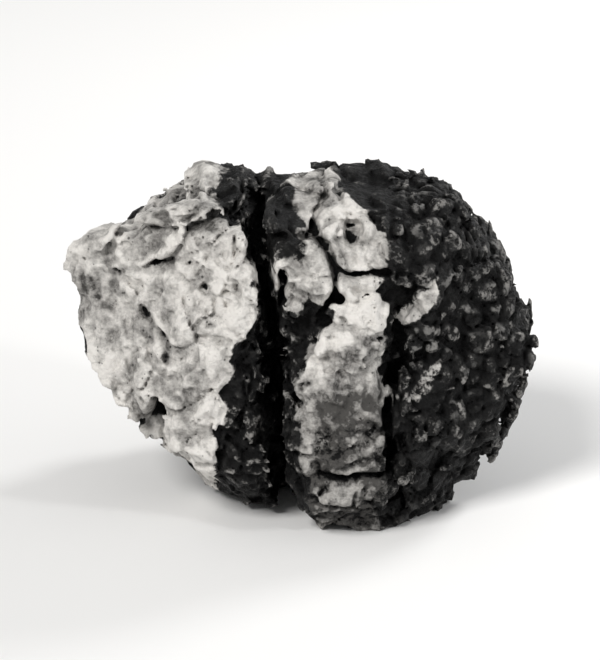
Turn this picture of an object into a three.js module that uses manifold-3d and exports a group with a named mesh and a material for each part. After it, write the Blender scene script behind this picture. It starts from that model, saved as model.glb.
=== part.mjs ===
// A lump of natural hardwood charcoal, one solid piece.
//
// It is a short chunk of a branch, charred and then broken by hand. The grain runs along Y.
// The front and the back are breaks across the grain, the right flank is the round bark side,
// and the left side and the crown are splits along the grain. Drying opened a wide cleft down
// the front, from the crown to the foot, and a few narrower checks.
// Units are millimetres, +Z is up, and the origin is the middle of the lump's box, at its base.

import * as THREE from 'three';
import { mergeVertices } from 'three/addons/utils/BufferGeometryUtils.js';
import { TessellateModifier } from 'three/addons/modifiers/TessellateModifier.js';
import Module from 'manifold-3d';

const wasm = await Module();
wasm.setup();

// Driving dimensions: the finished lump's box.
const WIDTH = 72; // left tip to bark side
const DEPTH = 54; // along the grain, front break to back break
const HEIGHT = 51; // resting face to crown
const PITH = { x: -4, z: 28 }; // where the branch's growth rings are centred

const EDGE_LENGTH = 6; // longest triangle edge, so that the faces can bend
const EDGE_SPLITS = 12; // most times a long edge is halved
const CURVE_STEPS = 2; // straight steps between two points of the bark's curve
const WAVE = 0.75; // how far the faces swell and sink
const FOOT_TRIM = 1; // taken off the swollen foot to make the flat resting face
const CUTTER = 160; // side of a cutting box, larger than the lump
const OUTSIDE = 40; // distance along the grain that is past either break
const WELD = 1e-3; // corners nearer than this are one corner

const halfWidth = WIDTH / 2;
const halfDepth = DEPTH / 2 - 2; // at mid height: both breaks lean outwards towards the foot

// ---------------------------------------------------------------- solids

// A closed three.js geometry as a solid that can be joined and cut.
function toSolid(geometry) {
  const bare = geometry.index ? geometry.toNonIndexed() : geometry.clone();
  bare.deleteAttribute('normal');
  bare.deleteAttribute('uv');
  const merged = mergeVertices(bare, WELD);
  return new wasm.Manifold(
    new wasm.Mesh({
      numProp: 3,
      vertProperties: merged.attributes.position.array,
      triVerts: new Uint32Array(merged.index.array),
    }),
  );
}

// A solid as a three.js geometry.
function toGeometry(solid) {
  const mesh = solid.getMesh();
  const geometry = new THREE.BufferGeometry();
  geometry.setAttribute('position', new THREE.BufferAttribute(mesh.vertProperties, 3));
  geometry.setIndex(new THREE.BufferAttribute(mesh.triVerts, 1));
  return geometry;
}

// Everything beyond the plane through the point at, whose outward normal is out.
function beyondPlane(at, out) {
  const up = new THREE.Vector3(0, 0, 1);
  const box = new THREE.BoxGeometry(CUTTER, CUTTER, CUTTER);
  box.translate(0, 0, CUTTER / 2);
  box.applyQuaternion(new THREE.Quaternion().setFromUnitVectors(up, new THREE.Vector3(...out).normalize()));
  box.translate(...at);
  return toSolid(box);
}

// A closed outline of straight edges through the [x, z] corners.
function polygon(corners) {
  return new THREE.Shape(corners.map(([x, z]) => new THREE.Vector2(x, z)));
}

// An outline in the XZ plane, drawn as a shape's x and y, pushed through from yNear to yFar.
function alongGrain(shape, yNear, yFar) {
  const geometry = new THREE.ExtrudeGeometry(shape, {
    depth: yFar - yNear,
    bevelEnabled: false,
    curveSegments: CURVE_STEPS,
  });
  geometry.rotateX(Math.PI / 2);
  geometry.translate(0, yFar, 0);
  return toSolid(geometry);
}

// ---------------------------------------------------------------- the block

// The lump seen along its grain: broken straight on the left, round where the bark was.
function crossSection() {
  const bark = [
    [30, 6],
    [halfWidth - 1.5, 17],
    [halfWidth, 27],
    [33, 36],
    [29, 43],
    [24.8, 48.5],
    [20, HEIGHT],
  ];
  const shape = new THREE.Shape();
  shape.moveTo(-13, -FOOT_TRIM);
  shape.lineTo(23, -FOOT_TRIM);
  shape.splineThru(bark.map(([x, z]) => new THREE.Vector2(x, z)));
  shape.lineTo(-3, HEIGHT);
  shape.lineTo(-15, HEIGHT - 0.5);
  shape.lineTo(-halfWidth + 1.5, 42);
  shape.lineTo(-halfWidth, 39);
  shape.lineTo(-halfWidth + 2.5, 33);
  shape.lineTo(-halfWidth + 2.5, 24);
  shape.lineTo(-26, 13.5);
  return shape;
}

// Breaks and splits, each a plane: a point on it and the way it faces.
const breaks = {
  frontLeft: { at: [-20, -17.5, 28], out: [-0.46, -0.87, 0.14] },
  frontMiddleLeft: { at: [-2, -halfDepth + 1, 26], out: [-0.2, -0.97, 0.08] },
  frontMiddleRight: { at: [8, -halfDepth, 26], out: [0.2, -0.97, 0.12] },
  frontRight: { at: [20, -20, 26], out: [0.56, -0.82, 0.1] },
  frontRightLower: { at: [22, -17, 10], out: [0.62, -0.66, -0.42] },
  bevelLeft: { at: [-19, -19, 45], out: [-0.36, -0.5, 0.79] },
  tipLeft: { at: [-34.5, 4, 36], out: [-0.93, 0.3, 0.2] },
  shoulderRight: { at: [29.8, -4, 41.6], out: [0.76, -0.1, 0.64] },
  crownRight: { at: [10, -16, 49.5], out: [0.18, -0.42, 0.89] },
  crownBack: { at: [-4, 6, 51], out: [0, 0.42, 0.9] },
  crownLeft: { at: [-24, -5, 50], out: [-0.5, 0.36, 0.9] },
  footFront: { at: [2, -22.3, 2.6], out: [0.05, -0.72, -0.69] },
  footLeft: { at: [-22, -14, 11.5], out: [-0.45, -0.42, -0.79] },
  backMiddle: { at: [0, halfDepth, 24], out: [0.08, 0.98, 0.18] },
  backLeft: { at: [-24, 17, 28], out: [-0.62, 0.76, 0.19] },
  backRight: { at: [25, 16, 26], out: [0.6, 0.79, -0.1] },
  footBack: { at: [4, 22, 5], out: [-0.1, 0.66, -0.74] },
};

// ---------------------------------------------------------------- clefts

// A wedge that opens towards the front: its mouth spans halfMouth to each side of x at y = mouthY,
// and its edge lies at y = edgeY. It runs straight up, then leans over by lean radians about Y.
function wedge({ x, mouthY, edgeY, halfMouth, zLow, zHigh, lean }) {
  const plan = new THREE.Shape();
  plan.moveTo(-halfMouth, mouthY);
  plan.lineTo(halfMouth, mouthY);
  plan.lineTo(0, edgeY);
  const geometry = new THREE.ExtrudeGeometry(plan, { depth: zHigh - zLow, bevelEnabled: false });
  geometry.translate(0, 0, -(zHigh - zLow) / 2);
  geometry.rotateY(lean);
  geometry.translate(x, 0, (zLow + zHigh) / 2);
  return toSolid(geometry);
}

const clefts = {
  // The wide cleft between the left block and the middle column.
  main: { x: -4.4, mouthY: -30, edgeY: -4, halfMouth: 2.8, zLow: -8, zHigh: 64, lean: -0.1 },
  // The check between the column and the bark side.
  right: { x: 14, mouthY: -28, edgeY: -16, halfMouth: 1.1, zLow: 4, zHigh: 37, lean: 0.02 },
};

// The sunken dark band that the wide cleft runs through, seen from the front.
function sunkenBand() {
  const leftEdge = [
    [-5.6, 36.8],
    [-8, 32],
    [-10, 26.6],
    [-11.5, 21],
    [-13, 12],
    [-13.2, 4],
  ];
  const rightEdge = [
    [-0.8, 3],
    [-0.8, 11],
    [-1.2, 19],
    [0.3, 27],
    [2.8, 33],
    [4.8, 38.6],
  ];
  const underBridge = [
    [2, 36],
    [-2, 35.4],
  ];
  const outline = [...leftEdge, ...rightEdge, ...underBridge];
  return alongGrain(polygon(outline), -OUTSIDE, -21);
}

// The crack over the crown, which carries on from the wide cleft towards the back.
function crownCrack() {
  return alongGrain(polygon([[-9, 56], [-6.6, 41], [-4, 56]]), -OUTSIDE, 12);
}

// A check that opens outwards at the bark, seen along the grain: it lies on the ray from the pith
// at angle degrees above +X, starts at radius reach and is halfMouth wide each way at the bark.
function radialCheck({ angle, reach, halfMouth, yNear, yFar }) {
  const bark = 44;
  const ray = THREE.MathUtils.degToRad(angle);
  const onRay = (radius, side) => [
    PITH.x + radius * Math.cos(ray) - side * Math.sin(ray),
    PITH.z + radius * Math.sin(ray) + side * Math.cos(ray),
  ];
  const shape = new THREE.Shape();
  shape.moveTo(...onRay(reach, 0));
  shape.lineTo(...onRay(bark, -halfMouth));
  shape.lineTo(...onRay(bark, halfMouth));
  return alongGrain(shape, yNear, yFar);
}

const radialChecks = [
  { angle: 34, reach: 15, halfMouth: 1.9, yNear: -2, yFar: OUTSIDE },
  { angle: -14, reach: 20, halfMouth: 1.6, yNear: 6, yFar: OUTSIDE },
  { angle: 118, reach: 9, halfMouth: 2.2, yNear: 8, yFar: OUTSIDE },
  { angle: 196, reach: 14, halfMouth: 2, yNear: 4, yFar: OUTSIDE },
];

// Bites out of the edges: a notch under the left block, and splinters lost along the grain, each
// a polygon seen along the grain with the stretch of Y where it is missing.
const splinters = [
  { outline: [[-28, 5], [-21.5, 5], [-20.2, 20]], yNear: -OUTSIDE, yFar: -12 },
  { outline: [[15, 60], [18, 46.5], [27, 42], [50, 40], [50, 60]], yNear: 3, yFar: OUTSIDE },
  { outline: [[-50, 60], [-50, 33], [-29, 34], [-26, 45], [-22, 60]], yNear: 5, yFar: OUTSIDE },
  { outline: [[24, -9], [21, 6], [29, 13], [50, 15], [50, -9]], yNear: -4, yFar: OUTSIDE },
  { outline: [[-12, 60], [-13, 46.5], [3, 45.5], [6, 60]], yNear: 15, yFar: OUTSIDE },
];

function splinter({ outline, yNear, yFar }) {
  return alongGrain(polygon(outline), yNear, yFar);
}

// ---------------------------------------------------------------- swelling

// A gentle swell of the whole lump, so that no face stays dead flat. Its slopes are far under 1,
// so the surface never folds over itself.
function swell(x, y, z) {
  const { sin } = Math;
  return [
    WAVE * (sin(0.24 * y + 0.15 * z + 0.6) + 0.55 * sin(0.47 * z - 0.3 * y + 2.1)),
    WAVE * (sin(0.22 * x - 0.19 * z + 1.9) + 0.55 * sin(0.41 * x + 0.38 * z + 0.4)),
    WAVE * (sin(0.2 * x + 0.23 * y + 3.4) + 0.55 * sin(0.44 * y - 0.35 * x + 1.2)),
  ];
}

function swollen(solid) {
  const fine = new TessellateModifier(EDGE_LENGTH, EDGE_SPLITS).modify(toGeometry(solid));
  const position = fine.attributes.position;
  for (let i = 0; i < position.count; i++) {
    const [x, y, z] = [position.getX(i), position.getY(i), position.getZ(i)];
    const [dx, dy, dz] = swell(x, y, z);
    position.setXYZ(i, x + dx, y + dy, z + dz);
  }
  return toSolid(fine);
}

// ---------------------------------------------------------------- the lump

function lump() {
  let solid = alongGrain(crossSection(), -DEPTH, DEPTH);
  for (const { at, out } of Object.values(breaks)) {
    solid = solid.subtract(beyondPlane(at, out));
  }
  for (const cleft of Object.values(clefts)) {
    solid = solid.subtract(wedge(cleft));
  }
  const bites = [sunkenBand(), crownCrack(), ...radialChecks.map(radialCheck), ...splinters.map(splinter)];
  for (const bite of bites) {
    solid = solid.subtract(bite);
  }
  solid = swollen(solid).subtract(beyondPlane([0, 0, 0], [0, 0, -1]));
  const geometry = toGeometry(solid);
  geometry.computeBoundingBox();
  const middle = geometry.boundingBox.getCenter(new THREE.Vector3());
  const size = geometry.boundingBox.getSize(new THREE.Vector3());
  geometry.translate(-middle.x, -middle.y, 0);
  geometry.scale(WIDTH / size.x, DEPTH / size.y, HEIGHT / size.z);
  geometry.computeVertexNormals();
  return geometry;
}

const charcoal = new THREE.MeshStandardMaterial({ color: 0x2b2a28, roughness: 0.75, metalness: 0 });
const mesh = new THREE.Mesh(lump(), charcoal);
mesh.name = 'charcoal_lump';

const group = new THREE.Group();
group.add(mesh);

export default group;
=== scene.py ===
"""A lump of natural hardwood charcoal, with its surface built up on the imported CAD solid.

The CAD solid gives the breaks, the cleft and the splinters. This script turns it into a field of
distances to its surface, roughens that field the way charred wood breaks (blocks between rings and
rays, fibres along the grain, a knobbly bark side, pores and checks), and meshes the result as one
closed surface. Lengths in the surface work are millimetres, in the frame's own axes: +Z is up, the
grain runs along Y, the ashy front faces -Y and the bark side faces +X.
"""

import itertools
import math
import typing

import bpy
import numpy as np
import openvdb
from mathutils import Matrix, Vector


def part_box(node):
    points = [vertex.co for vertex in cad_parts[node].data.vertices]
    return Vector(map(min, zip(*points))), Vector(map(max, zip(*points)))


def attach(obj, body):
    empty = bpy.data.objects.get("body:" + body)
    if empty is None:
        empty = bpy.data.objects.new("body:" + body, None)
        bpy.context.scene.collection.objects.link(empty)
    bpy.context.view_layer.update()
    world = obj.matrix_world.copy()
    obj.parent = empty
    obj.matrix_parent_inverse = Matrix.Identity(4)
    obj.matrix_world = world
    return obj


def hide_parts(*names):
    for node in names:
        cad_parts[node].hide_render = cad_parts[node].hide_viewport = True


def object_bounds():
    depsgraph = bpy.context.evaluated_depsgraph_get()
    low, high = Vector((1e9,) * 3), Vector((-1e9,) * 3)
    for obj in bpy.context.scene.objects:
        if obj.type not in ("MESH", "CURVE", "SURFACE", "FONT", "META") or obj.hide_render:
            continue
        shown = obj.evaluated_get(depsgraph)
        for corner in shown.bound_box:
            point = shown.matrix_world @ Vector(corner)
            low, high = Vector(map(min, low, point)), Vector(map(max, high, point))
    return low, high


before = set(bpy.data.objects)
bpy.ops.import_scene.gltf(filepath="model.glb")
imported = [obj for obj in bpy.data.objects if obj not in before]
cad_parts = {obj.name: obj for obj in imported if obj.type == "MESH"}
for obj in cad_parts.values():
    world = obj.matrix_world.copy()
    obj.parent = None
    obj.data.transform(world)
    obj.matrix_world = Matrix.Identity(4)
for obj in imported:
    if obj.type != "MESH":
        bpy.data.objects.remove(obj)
cad_low, cad_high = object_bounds()

MM = 0.001
VOXEL = 0.42  # mm
BAND = 3.2  # how far from the CAD surface the field is worked on
MARGIN = 4.0  # empty space kept round the lump's box
SPACE = ((-45.0, 45.0), (-38.0, 38.0), (-10.0, 62.0))  # where random fields are defined
PITH = (-4.0, 28.0)  # x and z of the middle of the growth rings
TURN = 100.0  # how many mm round the pith count as one full turn
RING_STEP = 2.3  # mm from one growth ring to the next
TABLE = 65536  # how many random rows a lattice's cells share
SPREAD = (73856093, 19349663, 83492791)  # large odd numbers that scatter the cells over those rows

# Sizes of the wood's parts in mm: out from the pith, round it, and along the grain.
BIG_BLOCK = (4.6, 4.8, 22.0)
SMALL_BLOCK = (1.9, 2.0, 8.0)
FLAKE = (3.1, 4.0, 2.6)  # of the ashy front, in x, y and z
# Knobs of the bark side in mm: how far apart, and how tall.
COARSE_KNOB, COARSE_HEIGHT = 3.5, 1.7
FINE_KNOB, FINE_HEIGHT = 1.7, 0.75
INSET = 0.35  # how far the mean surface lies inside the CAD's, so that the crests reach it
CROWN_LIFT = 0.7  # how much prouder the surface is over the crown's right part

# Landmarks, in mm. Most marks on the front are placed off these, to the whole millimetre.
LEFT = cad_low[0] / MM  # x of the left tip
CROWN = cad_high[2] / MM  # z of the top
CLEFT = -5.0  # x of the wide cleft's middle
COLUMN = 7.0  # x of the middle of the column between the cleft and the bark side
HEAD = CROWN - 10.0  # z of the crack under the column's head


class Crack(typing.NamedTuple):
    """A crack in the front, along a line of (x, z) points."""

    line: tuple
    half_width: float
    depth: float


class Hole(typing.NamedTuple):
    """A round hole in the front."""

    x: float
    z: float
    radius: float
    depth: float


class Knot(typing.NamedTuple):
    """A hollow where a twig grew from the bark side. ash is how strongly its lower right wall, the side that
    faces the light, gets a painted highlight in the ash's colours.
    """

    x: float
    z: float
    radius: float
    depth: float
    ash: float


class AshSpot(typing.NamedTuple):
    """A place on the front where the ash is lighter than round it, or darker if lighter is negative."""

    x: float
    z: float
    radius: float
    lighter: float


# Edges of the ash on the front, as (z, x) points: the left face's at the cleft, and the column's.
FACE_EDGE = ((13, CLEFT - 8), (28, CLEFT - 5), (36, CLEFT - 1), (42, CLEFT - 3), (CROWN, CLEFT - 2))
COLUMN_LEFT = (
    (4, COLUMN - 5), (13, COLUMN - 7), (21, COLUMN - 8), (29, COLUMN - 6),
    (36, COLUMN - 2), (38, COLUMN - 6), (CROWN, COLUMN - 8),
)
COLUMN_RIGHT = ((5, COLUMN + 5), (31, COLUMN + 6), (38, COLUMN + 5), (46, COLUMN + 7))
# On the crown, as (y, x) points: the right edge of the ash that comes up from the column.
CROWN_RIGHT = ((-21, COLUMN + 7), (-18, COLUMN + 3), (-13, COLUMN), (2, COLUMN - 2))

FRONT_CRACKS = (
    # Down beside the column's head and across under it, then down its neck, and across its foot.
    Crack(((COLUMN - 5, HEAD + 6), (COLUMN - 2, HEAD + 1), (COLUMN + 1, HEAD), (COLUMN + 6, HEAD)), 1.0, 2.0),
    Crack(((COLUMN - 2, HEAD + 1), (COLUMN - 2, HEAD - 3), (COLUMN - 4, HEAD - 6)), 0.7, 1.6),
    Crack(((COLUMN - 4, 11), (COLUMN, 10), (COLUMN + 5, 10)), 0.9, 2.0),
    # Under the left face's ridge, and on towards the tip.
    Crack(((CLEFT - 6, CROWN - 3), (CLEFT - 11, CROWN - 5), (CLEFT - 14, CROWN - 10)), 0.9, 1.2),
    Crack(((CLEFT - 14, CROWN - 10), (LEFT + 7, CROWN - 13)), 0.6, 0.8),
    # The notch in the left face's foot, and a bent flaw in the middle of the face.
    Crack(((CLEFT - 16, 20), (CLEFT - 19, 14)), 1.3, 2.2),
    Crack(((LEFT + 12, 33), (LEFT + 16, 29), (LEFT + 16, 26)), 0.6, 1.0),
)
HOLES = (
    Hole(COLUMN + 1, CROWN - 5, 1.8, 1.0),
    Hole(CLEFT - 9, HEAD - 3, 1.0, 1.2),
    Hole(CLEFT + 4, HEAD - 2, 0.8, 1.2),
)
KNOTS = (
    Knot(COLUMN + 8, HEAD - 3, 5.0, 1.1, 1.0),
    Knot(COLUMN + 9, 26, 5.0, 0.9, 0.45),
)
ASH_SPOTS = (
    # Left face: bright under the ridge, a painted highlight along the cleft, dull at the tip and in the
    # middle.
    AshSpot(CLEFT - 12, CROWN - 10, 3, 0.35),
    AshSpot(CLEFT - 6, CROWN - 14, 3, 0.35),
    AshSpot(CLEFT - 6, 30, 2, 0.3),
    AshSpot(CLEFT - 11, 14, 2, 0.25),
    AshSpot(LEFT + 6, 24, 3, 0.3),
    AshSpot(LEFT + 8, CROWN - 7, 3, 0.2),
    AshSpot(CLEFT - 9, CROWN - 5, 2, -0.35),
    AshSpot(LEFT + 4, CROWN - 16, 3, -0.45),
    AshSpot(CLEFT - 15, 29, 2, -0.3),
    # Column: brightest under its head, dull in the middle and at its foot.
    AshSpot(COLUMN + 1, HEAD - 5, 4, 0.9),
    AshSpot(COLUMN - 3, 33, 3, 0.45),
    AshSpot(COLUMN - 5, 27, 2, 0.2),
    AshSpot(COLUMN + 5, 27, 2, 0.25),
    AshSpot(COLUMN, 24, 3, -0.3),
    AshSpot(COLUMN + 1, 6, 4, -0.35),
    # Crown: bright beside the hole, and painted shade inside it.
    AshSpot(COLUMN, CROWN - 2, 2, 0.4),
    AshSpot(COLUMN + 1, CROWN - 5, 2, -0.45),
)

# Colours of the char and the ash.
CHAR_DARK = (0.002, 0.002, 0.0021, 1)
CHAR_GREY = (0.01, 0.0098, 0.0095, 1)
CHAR_GLINT = (0.25, 0.245, 0.236, 1)
# Painted shade for the char in the hollows.
CHAR_HOLLOW_SHADE = (0.001, 0.001, 0.001, 1)
ASH_DULL = (0.075, 0.072, 0.068, 1)
ASH_BRIGHT = (0.8, 0.776, 0.74, 1)
ASH_THIN = (0.09, 0.087, 0.083, 1)

# The camera looks at the middle of the lump from in front and above, as in the photograph.
CAMERA_ELEVATION = 18  # degrees
CAMERA_REACH = 0.51  # metres from the middle of the lump
CAMERA_LENS = 180  # millimetres


# ---------------------------------------------------------------- fields


def smooth_step(low, high, value):
    """0 at low, 1 at high, and an even S between them."""
    t = np.clip((value - low) / (high - low), 0.0, 1.0)
    return t * t * (3.0 - 2.0 * t)


class Grid:
    """A box of voxels round the lump, and the fields that are worked out on it."""

    def __init__(self, low, high, step):
        self.step = step
        self.first = np.floor((np.array(low) - MARGIN) / step).astype(int)
        last = np.ceil((np.array(high) + MARGIN) / step).astype(int)
        self.shape = tuple(int(n) for n in last - self.first + 1)
        self.axes = [(self.first[k] + np.arange(self.shape[k])) * step for k in range(3)]

    def distance_to(self, obj):
        """Signed distance to an object's closed mesh in mm, negative inside it."""
        mesh = obj.data
        mesh.calc_loop_triangles()
        points = np.empty(len(mesh.vertices) * 3, np.float32)
        mesh.vertices.foreach_get("co", points)
        corners = np.empty(len(mesh.loop_triangles) * 3, np.int32)
        mesh.loop_triangles.foreach_get("vertices", corners)
        level_set = openvdb.FloatGrid.createLevelSetFromPolygons(
            points.reshape(-1, 3) / MM,
            triangles=corners.reshape(-1, 3).astype(np.uint32),
            transform=openvdb.createLinearTransform(voxelSize=self.step),
            halfWidth=(BAND + MARGIN) / self.step,
        )
        field = np.empty(self.shape, np.float32)
        level_set.copyToArray(field, ijk=tuple(int(i) for i in self.first))
        return field

    def noise(self, cell, seed):
        """A smooth random field with mean 0 and deviation 1, whose blobs are cell mm across."""
        sizes = np.broadcast_to(np.asarray(cell, float), 3)
        spare = 5  # values past the end, which the last cell's spline needs
        counts = [int((high - low) / s) + spare for (low, high), s in zip(SPACE, sizes)]
        field = np.random.default_rng(seed).standard_normal(counts).astype(np.float32)
        for k in range(3):
            at = (self.axes[k] - SPACE[k][0]) / sizes[k]
            home = np.floor(at).astype(int)
            t = (at - home).astype(np.float32)
            spline = (
                (1 - t) ** 3 / 6,
                (3 * t**3 - 6 * t**2 + 4) / 6,
                (-3 * t**3 + 3 * t**2 + 3 * t + 1) / 6,
                t**3 / 6,
            )
            side = [1, 1, 1]
            side[k] = -1
            field = sum(
                np.take(field, home + n, axis=k) * w.reshape(side) for n, w in enumerate(spline)
            )
        return (field - field.mean()) / field.std()

    def blurred(self, field, sigma):
        """The field under a Gaussian of sigma mm."""
        reach = max(1, int(math.ceil(2.5 * sigma / self.step)))
        taps = np.exp(-0.5 * (np.arange(-reach, reach + 1) * self.step / sigma) ** 2)
        taps /= taps.sum()
        for k in range(3):
            pad = [(0, 0)] * 3
            pad[k] = (reach, reach)
            wide = np.pad(field, pad, mode="edge")
            count = field.shape[k]
            out = np.zeros_like(field)
            for n, w in enumerate(taps):
                cut = [slice(None)] * 3
                cut[k] = slice(n, n + count)
                out += np.float32(w) * wide[tuple(cut)]
            field = out
        return field

    def sample(self, field, points):
        """The field at points in mm, by straight lines between voxels."""
        at = points / self.step - self.first
        at = np.clip(at, 0, np.array(self.shape) - 1.001)
        home = at.astype(int)
        part = (at - home).astype(np.float32)
        found = np.zeros(len(points), np.float32)
        for corner in itertools.product((0, 1), repeat=3):
            weight = np.prod([p if c else 1 - p for c, p in zip(corner, part.T)], axis=0)
            found += weight * field[tuple((home + corner).T)]
        return found

    def surface(self, field):
        """The field's zero surface: points in mm, and triangles and quads that face out."""
        volume = openvdb.FloatGrid(float(field.max()))
        volume.copyFromArray(field, ijk=tuple(int(i) for i in self.first))
        volume.transform = openvdb.createLinearTransform(voxelSize=self.step)
        return volume.convertToPolygons(isovalue=0.0, adaptivity=0.0)


def tree_places(points):
    """Where points are in the branch: mm out from the pith, mm round it and mm along it."""
    across, up = points[:, 0] - PITH[0], points[:, 2] - PITH[1]
    turn = np.arctan2(across, up) / (2 * math.pi) * TURN
    return np.stack([np.hypot(across, up), turn, points[:, 1]], axis=1)


def lattice_key(cell, around):
    """A number for each lattice cell. A lattice that goes round the pith meets itself again."""
    turn = cell[:, 1] % around if around else cell[:, 1]
    return (cell[:, 0] * SPREAD[0] ^ turn * SPREAD[1] ^ cell[:, 2] * SPREAD[2]) % TABLE


def lattice(places, size, round_pith):
    """places in cells of a lattice, and how many cells go once round the pith."""
    size = np.array(np.broadcast_to(size, 3), np.float32)
    around = max(3, round(TURN / size[1])) if round_pith else 0
    if around:
        size[1] = TURN / around
    return places / size, around


def noise_at(places, size, seed, round_pith=True):
    """Smooth noise at scattered places, with mean 0 and deviation 1."""
    at, around = lattice(places, size, round_pith)
    table = np.random.default_rng(seed).standard_normal(TABLE).astype(np.float32)
    home = np.floor(at).astype(np.int64)
    part = (at - home).astype(np.float32)
    part = part * part * (3 - 2 * part)
    total = np.zeros(len(at), np.float32)
    for corner in itertools.product((0, 1), repeat=3):
        weight = np.prod([p if c else 1 - p for c, p in zip(corner, part.T)], axis=0)
        total += weight * table[lattice_key(home + corner, around)]
    return (total - total.mean()) / total.std()


class Cells(typing.NamedTuple):
    """For each place, in cell sizes: how far the cell's seed is, how much further the next seed
    is, and the way from the seed. dice are four random numbers that the whole cell shares."""

    nearest: np.ndarray
    gap: np.ndarray
    way: np.ndarray
    dice: np.ndarray


def cells_at(places, size, seed, round_pith=True):
    """Cells round scattered seeds."""
    at, around = lattice(places, size, round_pith)
    table = np.random.default_rng(seed).random((TABLE, 7), np.float32)  # a seed's place and dice
    home = np.floor(at).astype(np.int64)
    nearest = np.full(len(at), 9.0, np.float32)
    second = nearest.copy()
    owner = np.zeros(len(at), np.int64)
    way = np.zeros((len(at), 3), np.float32)
    for step in itertools.product((-1, 0, 1), repeat=3):
        cell = home + step
        key = lattice_key(cell, around)
        away = (at - cell - table[key, :3]).astype(np.float32)
        far = np.sqrt((away * away).sum(axis=1))
        closer = far < nearest
        second = np.where(closer, nearest, np.minimum(second, far))
        nearest = np.where(closer, far, nearest)
        owner = np.where(closer, key, owner)
        way[closer] = away[closer]
    return Cells(nearest, second - nearest, way, table[owner, 3:])


def facets(cells, step, tilt):
    """Cells as flat facets: heights spread over step mm, and slopes of up to tilt mm per cell."""
    slope = ((cells.dice[:, 1:4] - 0.5) * cells.way).sum(axis=1)
    return (cells.dice[:, 0] - 0.5) * step + slope * tilt


# ---------------------------------------------------------------- the lump's surface


def in_front(points):
    """1 on the front, and 0 from 8 mm in front of the lump's middle backwards."""
    return smooth_step(-8.0, -12.0, points[:, 1])


def groove(points, line, half_width):
    """1 in the middle of a crack along a line of (x, z) points on the front, 0 beside it."""
    nearest = np.full(len(points), 99.0, np.float32)
    for (x0, z0), (x1, z1) in zip(line, line[1:]):
        along = np.array((x1 - x0, z1 - z0), np.float32)
        way = points[:, (0, 2)] - np.array((x0, z0), np.float32)
        part = np.clip(way @ along / (along @ along), 0.0, 1.0)
        nearest = np.minimum(nearest, np.linalg.norm(way - part[:, None] * along, axis=1))
    return smooth_step(half_width, 0.0, nearest) * in_front(points)


def front_marks(shell):
    """Depth of the cracks and holes that the front has at known places."""
    points = shell.points + 0.35 * shell.ragged
    depth = np.zeros(len(points), np.float32)
    for crack in FRONT_CRACKS:
        depth = np.maximum(depth, crack.depth * groove(points, crack.line, crack.half_width))
    on_front = in_front(points)
    for hole in HOLES:
        away = np.hypot(points[:, 0] - hole.x, points[:, 2] - hole.z)
        inside = smooth_step(hole.radius, 0.5 * hole.radius, away)
        depth = np.maximum(depth, hole.depth * on_front * inside)
    return depth


def knot_parts(points, knot):
    """For a knot's hollow: 1 in its middle and 0 past its rim, and 1 on its lower right wall."""
    across, up = points[:, 0] - knot.x, points[:, 2] - knot.z
    out = np.hypot(across, up) / knot.radius
    on_front = smooth_step(-5.0, -9.0, points[:, 1])
    hollow = smooth_step(1.0, 0.5, out) * on_front
    lower_right = smooth_step(0.3, 0.7, (0.75 * across - 0.65 * up) / knot.radius)
    wall = smooth_step(1.1, 0.98, out) * smooth_step(0.38, 0.56, out) * lower_right * on_front
    return hollow, wall


class Shell:
    """The voxels near the CAD surface: where they are, and what kind of face is next to them."""

    def __init__(self, grid, base):
        self.grid = grid
        self.near = np.abs(base) < BAND
        x, y, z = (axis.astype(np.float32) for axis in np.meshgrid(*grid.axes, indexing="ij"))
        self.points = np.stack([x[self.near], y[self.near], z[self.near]], axis=1)

        slope = np.gradient(grid.blurred(base, 2.0), grid.step)
        length = np.sqrt(sum(s * s for s in slope)) + 1e-6
        facing_back = (slope[1] / length)[self.near]
        self.end_grain = smooth_step(0.5, 0.78, np.abs(facing_back))
        self.side_grain = 1.0 - self.end_grain
        self.front = smooth_step(-0.3, -0.7, facing_back)
        self.edge = np.maximum((grid.blurred(base, 1.5) - base)[self.near], 0.0)

        self.ragged = np.stack([self.noise(2.6, 20 + k) for k in range(3)], axis=1)
        self.sway = np.stack([self.noise(9.0, 24 + k) for k in range(3)], axis=1)
        self.places = tree_places(self.points + 0.9 * self.sway + 0.3 * self.ragged)
        # Millimetres across a ray for each millimetre of turn.
        self.fan = self.places[:, 0] / (TURN / (2 * math.pi))

        # The bark side takes the right flank and runs up over the right of the crown.
        rightward = self.points[:, 0] + 1.2 * self.sway[:, 0] + 0.06 * (self.points[:, 2] - 25)
        self.bark = smooth_step(12.4, 14.6, rightward)
        self.wood = 1.0 - self.bark

    def noise(self, cell, seed):
        return self.grid.noise(cell, seed)[self.near]

    def on_grid(self, values):
        """Values at the near voxels as a whole field, 0 elsewhere."""
        field = np.zeros(self.grid.shape, np.float32)
        field[self.near] = values
        return field


def block_relief(shell):
    """Blocks of wood between rays and rings, each broken off at its own height and tilt, with
    crumbled edges and some open cracks between them. Also a random tone for each block."""
    big = cells_at(shell.places, BIG_BLOCK, 31)
    small = cells_at(shell.places, SMALL_BLOCK, 32)
    held = (1.0 - 0.6 * shell.bark) * (1.0 - 0.4 * shell.front)
    held *= 1.0 - 0.7 * smooth_step(0.2, 0.9, shell.edge)
    relief = (facets(big, 1.3, 1.5) + facets(small, 0.55, 0.7)) * held
    wear = 0.2 + 1.3 * big.dice[:, 3] * (0.4 + 1.2 * small.dice[:, 3])
    wear *= 1.0 - 0.6 * smooth_step(-28.0, -33.0, shell.points[:, 0])  # the left tip is still sharp
    relief -= wear * shell.edge

    cracked = smooth_step(0.0, 0.9, shell.noise(7.0, 47)) * shell.wood
    relief -= cracked * 0.9 * smooth_step(0.12, 0.0, big.gap)
    relief -= cracked * 0.4 * smooth_step(0.14, 0.0, small.gap)
    return relief, 0.5 * big.dice[:, 2] + 0.5 * small.dice[:, 2]


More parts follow.
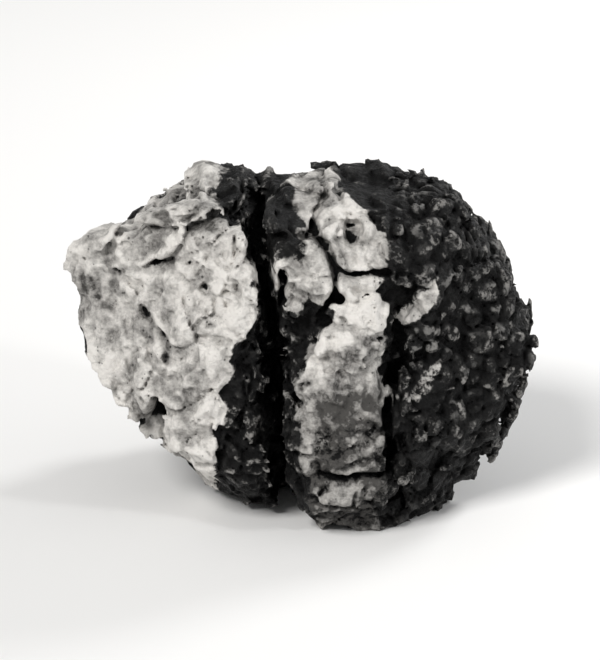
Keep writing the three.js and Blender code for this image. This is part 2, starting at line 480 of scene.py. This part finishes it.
def fibre_relief(shell):
    """Fibres and splinters along the grain, with sharp crests."""
    fibre = 0.34 * (0.8 - np.abs(noise_at(shell.places, (1.0, 1.0, 15.0), 41)))
    splinter = 0.42 * (0.8 - np.abs(noise_at(shell.places, (2.6, 2.6, 28.0), 42)))
    return shell.side_grain * (1.0 - 0.85 * shell.bark) * (fibre + splinter)


def end_grain_relief(shell):
    """Growth rings that stand proud, on a crumbly break, flaked and crazed where it is ashy."""
    ring = shell.places[:, 0] / RING_STEP + 0.25 * noise_at(shell.places, (3.0, 12.0, 30.0), 43)
    saw = ring - np.floor(ring)
    relief = shell.end_grain * shell.wood * 0.4 * (saw * saw - 0.33)
    relief += shell.end_grain * 0.26 * (0.8 - np.abs(shell.noise(1.5, 44)))
    relief += 0.1 * shell.noise((1.0, 3.0, 1.0), 49)

    flakes = cells_at(shell.points + 0.6 * shell.ragged, FLAKE, 53, round_pith=False)
    craze = 0.35 * smooth_step(0.14, 0.0, flakes.gap) * smooth_step(-0.4, 0.8, shell.noise(5.0, 54))
    relief += shell.front * shell.wood * (facets(flakes, 0.6, 1.0) - craze)
    return relief


def check_depth(shell):
    """Drying checks that fan out from the pith, hairline rays, and pits."""
    outward = smooth_step(3.0, 12.0, shell.places[:, 0])
    check = np.abs(noise_at(shell.places, (60.0, 8.0, 50.0), 40)) * 4.0 * shell.fan
    bare_end = shell.end_grain * shell.wood * (1.0 - shell.front)
    depth = 2.2 * bare_end * smooth_step(0.75, 0.15, check) * outward
    depth += 0.9 * shell.side_grain * shell.wood * smooth_step(0.6, 0.0, check)
    ray = np.abs(noise_at(shell.places, (16.0, 3.2, 26.0), 45)) * 1.6 * shell.fan
    open_ray = smooth_step(0.1, 0.9, shell.noise(8.0, 46)) * smooth_step(3.0, 8.0, shell.places[:, 0])
    depth += open_ray * (1.0 - 0.5 * shell.front) * smooth_step(0.5, 0.0, ray)
    pit = smooth_step(1.5, 2.3, shell.noise((1.2, 2.4, 1.2), 48))
    return depth + 0.8 * pit * (0.2 + 0.8 * shell.end_grain) * (1.0 - 0.7 * shell.front)


def knobs(points, size, seed, height):
    """Knobs packed side by side, a little longer along the grain, with deep gaps between."""
    cells = cells_at(points, (size, 1.5 * size, size), seed, round_pith=False)
    dome = np.sqrt(np.clip(1.0 - 0.9 * cells.nearest**2, 0.0, 1.0)) * (0.55 + 0.7 * cells.dice[:, 0])
    return height * (dome - 0.65 - 0.5 * smooth_step(0.16, 0.0, cells.gap))


def bark_relief(shell):
    """The bark side's knobs of two sizes, and the hollows where twigs grew."""
    relief = np.zeros(len(shell.points), np.float32)
    rough = shell.bark > 0.01
    spots = shell.points[rough] + 0.5 * shell.ragged[rough]
    both = knobs(spots, COARSE_KNOB, 51, COARSE_HEIGHT) + knobs(spots, FINE_KNOB, 52, FINE_HEIGHT)
    relief[rough] = shell.bark[rough] * both
    for knot in KNOTS:
        hollow, wall = knot_parts(shell.points + 0.4 * shell.ragged, knot)
        relief = relief * (1.0 - 0.7 * wall) - knot.depth * hollow
    return relief


def grow_surface(grid):
    """The lump's field of distances with all its relief, and the masks that its colours use."""
    base = grid.distance_to(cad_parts["charcoal_lump"])
    shell = Shell(grid, base)
    height = shell.points[:, 2]

    relief, block_tone = block_relief(shell)
    relief += 0.3 * shell.noise(11.0, 13) + 0.15 * shell.noise(5.0, 14)
    relief += fibre_relief(shell)
    relief += end_grain_relief(shell)
    relief += bark_relief(shell)
    relief -= check_depth(shell)
    relief -= front_marks(shell)
    relief -= INSET * smooth_step(0.0, 6.0, height)
    right_crown = smooth_step(45.0, 49.0, height) * smooth_step(-7.0, -4.0, shell.points[:, 0])
    relief += CROWN_LIFT * right_crown

    field = base[shell.near] - relief
    field = np.maximum(field, -height)  # the lump rests on its lowest points
    whole = np.where(base > 0, np.float32(BAND), np.float32(-BAND))
    whole[shell.near] = np.clip(field, -BAND, BAND)
    masks = {
        "bark": shell.on_grid(shell.bark),
        "block_tone": shell.on_grid(block_tone),
    }
    return whole, base, masks


def largest_part(count, faces):
    """Which vertices belong to the largest connected part."""
    pairs = np.concatenate(
        [np.stack([f[:, k], f[:, k - 1]], 1) for f in faces for k in range(f.shape[1])]
    )
    label = np.arange(count)
    while True:
        low = np.minimum(label[pairs[:, 0]], label[pairs[:, 1]])
        new = label.copy()
        np.minimum.at(new, pairs[:, 0], low)
        np.minimum.at(new, pairs[:, 1], low)
        new = new[new]
        if (new == label).all():
            break
        label = new
    values, counts = np.unique(label, return_counts=True)
    return label == values[counts.argmax()]


def mesh_of(name, points, triangles, quads):
    """A smooth mesh object of the largest connected part of these faces."""
    triangles, quads = triangles.astype(np.int64), quads.astype(np.int64)
    keep = largest_part(len(points), [f for f in (triangles, quads) if len(f)])
    renumber = np.cumsum(keep) - 1
    triangles, quads = (renumber[f[keep[f[:, 0]]]] for f in (triangles, quads))
    points = points[keep]
    mesh = bpy.data.meshes.new(name)
    mesh.vertices.add(len(points))
    mesh.vertices.foreach_set("co", (points * MM).astype(np.float32).ravel())
    corners = np.concatenate([triangles.ravel(), quads.ravel()])
    starts = np.concatenate([
        np.arange(len(triangles)) * 3,
        len(triangles) * 3 + np.arange(len(quads)) * 4,
    ])
    mesh.loops.add(len(corners))
    mesh.loops.foreach_set("vertex_index", corners.astype(np.int32))
    mesh.polygons.add(len(starts))
    mesh.polygons.foreach_set("loop_start", starts.astype(np.int32))
    mesh.update(calc_edges=True)
    mesh.validate()
    mesh.polygons.foreach_set("use_smooth", np.ones(len(mesh.polygons), bool))
    obj = bpy.data.objects.new(name, mesh)
    bpy.context.scene.collection.objects.link(obj)
    return obj, points


def store(obj, name, values):
    """One number for each vertex, under a name that the material can read."""
    attribute = obj.data.attributes.new(name, "FLOAT", "POINT")
    attribute.data.foreach_set("value", np.asarray(values, np.float32))


def edge_at(along, edge):
    """x of an edge at each height or depth along it."""
    starts, places = zip(*edge)
    return np.interp(along, starts, places)


def spot_tone(points, spot):
    """How much lighter an ash spot makes each point: all of it in its middle, none far off."""
    away = np.hypot(points[:, 0] - spot.x, points[:, 2] - spot.z)
    return spot.lighter * np.exp(-((away / spot.radius) ** 2)) * smooth_step(0.0, -6.0, points[:, 1])


def left_ash(x, y, z, up, front, patch, ragged):
    """Share and tone of the ash on the left face, and on top of it beside the cleft. The tone has a painted
    highlight along the cleft's edge and painted shade where the face turns up.
    """
    past_edge = x - edge_at(z, FACE_EDGE) + 0.5 * ragged
    share = smooth_step(0.8, -0.8, past_edge)
    crown_edge = CLEFT - 7 - 0.3 * (z - 46)  # it leans away from the cleft towards the top
    left_of_crown = smooth_step(0.8, -0.8, x - crown_edge + 0.9 * ragged) * smooth_step(38.0, 41.0, z)
    on_top = smooth_step(0.25, 0.6, up + 0.1 * ragged) * smooth_step(15.0, 9.0, y + 3.0 * patch)
    share *= np.maximum(front, left_of_crown * on_top)
    # Painted highlight along the cleft's edge.
    tone = 0.7 + 0.35 * smooth_step(-5.0, -0.5, past_edge)
    # Painted shade where the face turns up.
    tone -= 0.16 * smooth_step(0.45, 0.65, up)
    return share, tone


def column_ash(x, y, z, front, patch, ragged):
    """Share and tone of the ash on the column, and where it runs up over the crown."""
    share = smooth_step(-0.7, 0.7, x - edge_at(z, COLUMN_LEFT) + 0.5 * ragged)
    share *= smooth_step(0.7, -0.7, x - edge_at(z, COLUMN_RIGHT) + 0.5 * ragged)
    crown = smooth_step(44.5, 46.0, z)
    share *= np.maximum(front, crown * smooth_step(4.0, 0.0, y + 2 * patch))
    share *= 1 - crown * smooth_step(-0.7, 0.7, x - edge_at(y, CROWN_RIGHT) + 0.5 * ragged)
    share *= 0.55 + 0.45 * smooth_step(17.0, 23.0, z + 1.5 * patch)
    tone = 0.02 + 0.3 * smooth_step(12.0, 22.0, z) + 0.22 * smooth_step(38.0, 43.0, z)
    tone += 0.1 * patch
    return share, tone


def bridge_ash(x, z, front, ragged):
    """Share of the ash on the grey bridge beside the cleft."""
    from_bridge = np.hypot(x - (CLEFT + 4), 1.1 * (z - (HEAD - 1)))
    return smooth_step(4.8, 3.8, from_bridge + 0.5 * ragged) * front


def knot_painted_highlight(points, ragged):
    """Share of a painted highlight, in the ash's colours, on the lit lower right walls of the knots' hollows.
    """
    share = np.zeros(len(points), np.float32)
    for knot in KNOTS:
        share = np.maximum(share, 0.9 * knot.ash * knot_parts(points + 0.3 * ragged[:, None], knot)[1])
    return share


def ash_on(grid, points, base, bark):
    """How much of each point ash covers, and how bright it is there, both from 0 to 1. The cover also holds a
    painted highlight on the knots' walls, and the brightness holds painted highlights and painted shade.
    """
    slope = np.gradient(grid.blurred(base, 2.2), grid.step)
    facing = np.stack([grid.sample(s, points) for s in slope], axis=1)
    facing /= np.linalg.norm(facing, axis=1, keepdims=True) + 1e-6
    x, y, z = points.T
    patch = grid.sample(grid.noise(6.0, 61), points)
    ragged = grid.sample(grid.noise(1.6, 62), points)
    sheltered = smooth_step(-2.2, -1.1, grid.sample(grid.blurred(base, 3.0), points))
    front = smooth_step(0.15, 0.4, -facing[:, 1] + 0.06 * patch)

    left, left_tone_and_painted_light = left_ash(x, y, z, facing[:, 2], front, patch, ragged)
    column, column_tone = column_ash(x, y, z, front, patch, ragged)
    bridge_tone = np.full_like(x, 0.62)
    knot_highlight_tone = np.full_like(x, 0.75)
    wood = 1 - 0.9 * bark
    shares = np.stack([
        sheltered * left * wood,
        sheltered * column * wood,
        bridge_ash(x, z, front, ragged),
        knot_painted_highlight(points, ragged),
    ])
    tones = np.stack([left_tone_and_painted_light, column_tone, bridge_tone, knot_highlight_tone])
    most = shares.argmax(axis=0)
    pick = np.arange(len(x))
    tone = tones[most, pick]
    for spot in ASH_SPOTS:
        tone = tone + spot_tone(points, spot)
    # Painted shade along the front cracks and just beside them.
    for crack in FRONT_CRACKS:
        tone = tone - 0.35 * groove(points, crack.line, 1.7 * crack.half_width)
    return shares[most, pick], np.clip(tone, 0.0, 1.0)


def build_lump():
    """The lump's finished surface, with the attributes that its material reads."""
    low, high = (np.array(c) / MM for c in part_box("charcoal_lump"))
    grid = Grid(low, high, VOXEL)
    field, base, masks = grow_surface(grid)
    obj, points = mesh_of("charcoal_surface", *grid.surface(field))
    for name, mask in masks.items():
        store(obj, name, grid.sample(mask, points))
    store(obj, "raised", grid.sample(grid.blurred(field, 0.8), points))
    bark = grid.sample(masks["bark"], points)
    ash, ash_tone_and_painted_light = ash_on(grid, points, base, bark)
    store(obj, "ash", ash)
    store(obj, "ash_tone_and_painted_light", ash_tone_and_painted_light)
    # How strong the painted glints are: a little everywhere, more on the bark side, most on its upper part.
    store(obj, "painted_glint_share", 0.12 + bark * (0.06 + 0.52 * smooth_step(12.0, 32.0, points[:, 2])))
    return obj


# ---------------------------------------------------------------- materials


class Nodes:
    """Short calls for building a material's node tree."""

    def __init__(self, name):
        self.material = bpy.data.materials.new(name)
        self.material.use_nodes = True
        self.tree = self.material.node_tree
        self.shader = self.tree.nodes["Principled BSDF"]

    def put(self, socket, value):
        if isinstance(value, bpy.types.NodeSocket):
            self.tree.links.new(value, socket)
        else:
            socket.default_value = value

    def attribute(self, name):
        node = self.tree.nodes.new("ShaderNodeAttribute")
        node.attribute_name = name
        return node.outputs["Fac"]

    def position(self, scale):
        """Object coordinates, stretched by scale on each axis."""
        coordinates = self.tree.nodes.new("ShaderNodeTexCoord")
        mapping = self.tree.nodes.new("ShaderNodeMapping")
        mapping.inputs["Scale"].default_value = scale
        self.tree.links.new(coordinates.outputs["Object"], mapping.inputs["Vector"])
        return mapping.outputs["Vector"]

    def noise(self, per_metre, detail=3.0, rough=0.55, stretch=(1, 1, 1)):
        node = self.tree.nodes.new("ShaderNodeTexNoise")
        self.put(node.inputs["Vector"], self.position(stretch))
        node.inputs["Scale"].default_value = per_metre
        node.inputs["Detail"].default_value = detail
        node.inputs["Roughness"].default_value = rough
        return node.outputs["Fac"]

    def dots(self, per_metre, stretch=(1, 1, 1)):
        """Distance from the nearest of scattered points, in spacings."""
        node = self.tree.nodes.new("ShaderNodeTexVoronoi")
        self.put(node.inputs["Vector"], self.position(stretch))
        node.inputs["Scale"].default_value = per_metre
        return node.outputs["Distance"]

    def math(self, operation, a, b=0.0, clamp=False):
        node = self.tree.nodes.new("ShaderNodeMath")
        node.operation = operation
        node.use_clamp = clamp
        self.put(node.inputs[0], a)
        self.put(node.inputs[1], b)
        return node.outputs["Value"]

    def ramp(self, value, low, high, to_low=0.0, to_high=1.0):
        """value mapped from low..high to to_low..to_high, along a smooth step."""
        node = self.tree.nodes.new("ShaderNodeMapRange")
        node.interpolation_type = "SMOOTHSTEP"
        self.put(node.inputs["Value"], value)
        node.inputs["From Min"].default_value = low
        node.inputs["From Max"].default_value = high
        node.inputs["To Min"].default_value = to_low
        node.inputs["To Max"].default_value = to_high
        return node.outputs["Result"]

    def mix(self, share, a, b):
        node = self.tree.nodes.new("ShaderNodeMix")
        node.data_type = "RGBA"
        self.put(node.inputs[0], share)
        self.put(node.inputs[6], a)
        self.put(node.inputs[7], b)
        return node.outputs[2]

    def bump(self, height, distance, strength=1.0, under=None):
        node = self.tree.nodes.new("ShaderNodeBump")
        node.inputs["Strength"].default_value = strength
        node.inputs["Distance"].default_value = distance
        self.put(node.inputs["Height"], height)
        if under is not None:
            self.put(node.inputs["Normal"], under)
        return node.outputs["Normal"]


def char_material():
    """Black char, with a film of pale ash where the lump's attributes put it, and painted glints, highlights
    and shade.
    """
    n = Nodes("char_and_ash")
    n.shader.inputs["Specular IOR Level"].default_value = 0.2
    raised = n.attribute("raised")
    ash = n.attribute("ash")
    bark = n.attribute("bark")
    tone = n.attribute("block_tone")

    # Char: near black, greyer on the fibres that stand up, and painted shade that makes it blacker in the
    # hollows.
    fibre = n.noise(900, 4, 0.6, stretch=(1, 0.07, 1))
    mottle = n.noise(260, 4, 0.6)
    grey = n.math("MULTIPLY", fibre, n.math("ADD", mottle, n.math("MULTIPLY", tone, 0.35)))
    char = n.mix(n.ramp(grey, 0.24, 0.5), CHAR_DARK, CHAR_GREY)
    grit = n.dots(850)
    # Painted glints: grey highlight flecks on the crests, in patches.
    glint = n.math("MULTIPLY", n.ramp(raised, 0.0, 0.35), n.ramp(n.noise(620, 5, 0.65), 0.5, 0.6))
    glint = n.math("MULTIPLY", glint, n.ramp(n.noise(150, 2, 0.5), 0.4, 0.6, 0.15, 1.0))
    glint = n.math("MULTIPLY", glint, n.attribute("painted_glint_share"))
    char = n.mix(glint, char, CHAR_GLINT)
    char = n.mix(n.ramp(raised, -0.25, 0.1), CHAR_HOLLOW_SHADE, char)

    # Ash: pale, warm grey, broken up by pores and thin where the char rubs through.
    speckle = n.noise(1300, 5, 0.7)
    cloud = n.noise(210, 4, 0.55)
    # The tone attribute read here carries painted highlights and painted shade as well as the ash's own tone.
    light = n.math("ADD", n.attribute("ash_tone_and_painted_light"), n.ramp(speckle, 0.35, 0.65, -0.17, 0.11))
    light = n.math("ADD", light, n.ramp(cloud, 0.38, 0.62, -0.34, 0.22))
    # Painted highlight on the ash's crests and painted shade in its hollows.
    light = n.math("ADD", light, n.ramp(raised, -0.1, 0.4, -0.1, 0.25), clamp=True)
    pale = n.mix(light, ASH_DULL, ASH_BRIGHT)
    pale = n.mix(n.ramp(ash, 0.15, 0.6, 0.75, 0.0), pale, ASH_THIN)

    # Where the ash holds: on crests sooner than in hollows, and thinly in the pores.
    hold = n.math("ADD", ash, n.math("MULTIPLY", raised, 0.6))
    hold = n.math("ADD", hold, n.ramp(speckle, 0.35, 0.65, -0.2, 0.2))
    hold = n.math("ADD", hold, n.ramp(cloud, 0.3, 0.7, -0.15, 0.15))
    pore = n.math("ADD", n.dots(1100, stretch=(1, 0.3, 1)), n.noise(420, 2, 0.5))
    pore = n.ramp(pore, 0.45, 0.62, 0.25, 1.0)
    cover = n.math("MULTIPLY", n.ramp(hold, 0.28, 0.6), pore)
    n.put(n.shader.inputs["Base Color"], n.mix(cover, char, pale))

    # Char has glossy flecks, ash is dull.
    shine = n.noise(900, 3, 0.6)
    rough = n.ramp(shine, 0.38, 0.62, 0.72, 0.4)
    rough = n.math("ADD", rough, n.math("MULTIPLY", cover, 0.35), clamp=True)
    n.put(n.shader.inputs["Roughness"], rough)

    grain = n.bump(fibre, 0.0006, 0.8)
    grain = n.bump(n.math("MULTIPLY", bark, grit), 0.0006, 0.9, under=grain)
    n.put(n.shader.inputs["Normal"], n.bump(n.noise(1500, 6, 0.7), 0.0006, 0.9, under=grain))
    return n.material


# ---------------------------------------------------------------- the set


def place(name, data, at, target):
    """An object at a point, whose -Z axis looks at the target."""
    obj = bpy.data.objects.new(name, data)
    obj.location = at
    obj.rotation_euler = (Vector(target) - Vector(at)).to_track_quat("-Z", "Y").to_euler()
    bpy.context.scene.collection.objects.link(obj)
    return obj


def add_sun(name, at, target, strength, angle, colour):
    """A far light whose disc is angle radians across."""
    light = bpy.data.lights.new(name, "SUN")
    light.energy = strength
    light.angle = angle
    light.color = colour
    place(name, light, at, target)


def add_softbox(name, at, target, size, power):
    """A round lamp, size metres across."""
    light = bpy.data.lights.new(name, "AREA")
    light.shape = "DISK"
    light.size = size
    light.energy = power
    place(name, light, at, target)


def plain_material(name, colour):
    """A matt material of one colour."""
    material = bpy.data.materials.new(name)
    material.use_nodes = True
    shader = material.node_tree.nodes["Principled BSDF"]
    shader.inputs["Base Color"].default_value = colour
    shader.inputs["Roughness"].default_value = 0.9
    return material


def build_floor():
    """A pale floor, large enough for its edge to stay out of the photograph's view."""
    side = 6.0
    mesh = bpy.data.meshes.new("floor")
    corners = [(-side, -side, 0), (side, -side, 0), (side, side, 0), (-side, side, 0)]
    mesh.from_pydata(corners, [], [(0, 1, 2, 3)])
    floor = bpy.data.objects.new("floor", mesh)
    floor.data.materials.append(plain_material("floor_paper", (0.87, 0.87, 0.865, 1)))
    bpy.context.scene.collection.objects.link(floor)


def build_world():
    """Even studio light, with a brighter backdrop where the camera looks past the floor."""
    world = bpy.data.worlds.new("studio")
    world.use_nodes = True
    tree = world.node_tree
    light = tree.nodes["Background"]
    light.inputs["Color"].default_value = (1, 1, 1, 1)
    light.inputs["Strength"].default_value = 0.36
    backdrop = tree.nodes.new("ShaderNodeBackground")
    backdrop.inputs["Color"].default_value = (1, 1, 1, 1)
    backdrop.inputs["Strength"].default_value = 0.92
    seen = tree.nodes.new("ShaderNodeLightPath")
    either = tree.nodes.new("ShaderNodeMixShader")
    tree.links.new(seen.outputs["Is Camera Ray"], either.inputs[0])
    tree.links.new(light.outputs[0], either.inputs[1])
    tree.links.new(backdrop.outputs[0], either.inputs[2])
    tree.links.new(either.outputs[0], tree.nodes["World Output"].inputs["Surface"])
    bpy.context.scene.world = world


def build_set():
    """The floor, the lights and the camera."""
    middle = (cad_low + cad_high) / 2
    build_floor()
    build_world()
    add_sun("key", (-0.5, -0.75, 0.8), middle * 0, 2.5, 0.35, (1, 0.985, 0.965))
    add_softbox("rim", (0.3, 0.25, 0.3), middle, 0.12, 0.9)
    add_softbox("side", (0.42, -0.26, 0.22), middle, 0.06, 0.7)

    camera = bpy.data.cameras.new("camera")
    camera.lens = CAMERA_LENS
    elevation = math.radians(CAMERA_ELEVATION)
    back = Vector((0, -math.cos(elevation), math.sin(elevation)))
    bpy.context.scene.camera = place("camera", camera, middle + back * CAMERA_REACH, middle)
    bpy.context.scene.view_settings.view_transform = "Standard"


build_set()
lump = build_lump()
lump.data.materials.append(char_material())
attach(lump, "root")
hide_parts("charcoal_lump")
